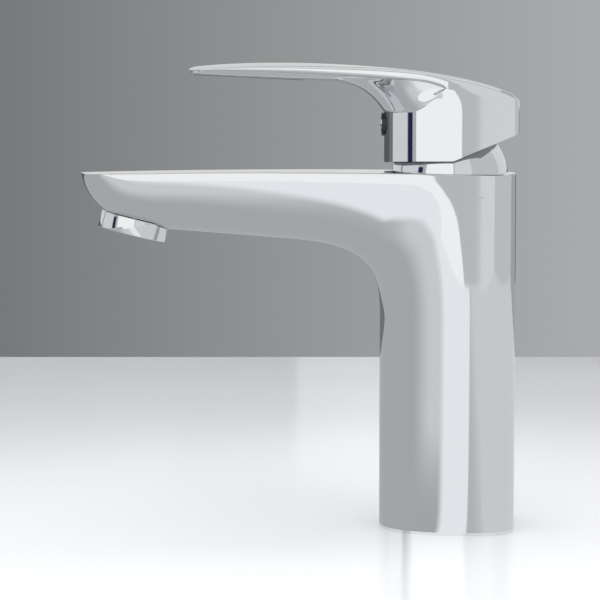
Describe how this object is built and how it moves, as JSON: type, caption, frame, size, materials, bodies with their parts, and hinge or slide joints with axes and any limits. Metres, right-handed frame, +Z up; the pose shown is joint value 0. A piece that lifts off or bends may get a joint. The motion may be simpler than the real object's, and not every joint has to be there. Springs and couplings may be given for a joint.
{
  "type": "basin mixer tap",
  "caption": "Deck-mounted single-lever basin mixer with a straight spout, a tilting and turning lever over a ceramic-disc cartridge, and its fixing kit.",
  "frame": {"origin": "where the cartridge's vertical axis meets the deck's top surface, at the centre of the tap hole", "axes": "+Z up; the spout and the lever point along -Y, towards the user; +X is the cold side"},
  "size_m": [0.044, 0.1509, 0.2047],
  "materials": {
    "chrome": "bright polished chrome plate",
    "brass": "machined brass",
    "steel": "zinc-plated steel",
    "ceramic": "lapped alumina",
    "grey_plastic": "moulded, fine texture",
    "white_plastic": "moulded acetal",
    "dark_plastic": "moulded, satin",
    "red_plastic": "moulded",
    "rubber": "matt"
  },
  "bodies": {
    "faucet_body": {"body": "chrome", "base_gasket": "rubber", "dome_cap": "chrome", "dome_o_ring": "rubber", "retaining_nut": "brass", "cartridge_housing": "grey_plastic", "cartridge_base": "grey_plastic", "hot_port_seal": "rubber", "cold_port_seal": "rubber", "mixed_port_seal": "rubber", "disc_gasket": "rubber", "fixed_disc": "ceramic", "temperature_limit_ring": "red_plastic", "aerator_housing": "chrome", "aerator_insert": "white_plastic", "aerator_screen": "grey_plastic", "aerator_washer": "rubber", "mounting_stud": "steel", "rubber_washer": "rubber", "clamp_plate": "steel", "stud_nut": "brass"},
    "turret": {"stem_turret": "white_plastic", "stem_pin": "steel"},
    "lever": {"handle": "chrome", "spindle": "brass", "handle_set_screw": "steel", "index_plug": "dark_plastic", "index_disc": "chrome"},
    "valve_disc": {"sliding_disc": "ceramic", "disc_carrier": "white_plastic"}
  },
  "joints": [
    {"name": "handle_turn", "type": "hinge", "parent": "faucet_body", "child": "turret", "pos_m": [0, 0, 0.1227], "axis": [0, 0, 1], "range_deg": [-45, 45]},
    {"name": "handle_lift", "type": "hinge", "parent": "turret", "child": "lever", "pos_m": [0, 0, 0.1227], "axis": [-1, 0, 0], "range_deg": [0, 22]},
    {"name": "disc_slide", "type": "slide", "parent": "turret", "child": "valve_disc", "axis": [0, -1, 0], "range_m": [0, 0.0042]}
  ],
  "couplings": [
    {"joint": "disc_slide", "follows": "handle_lift", "m_per_rad": 0.010933}
  ]
}
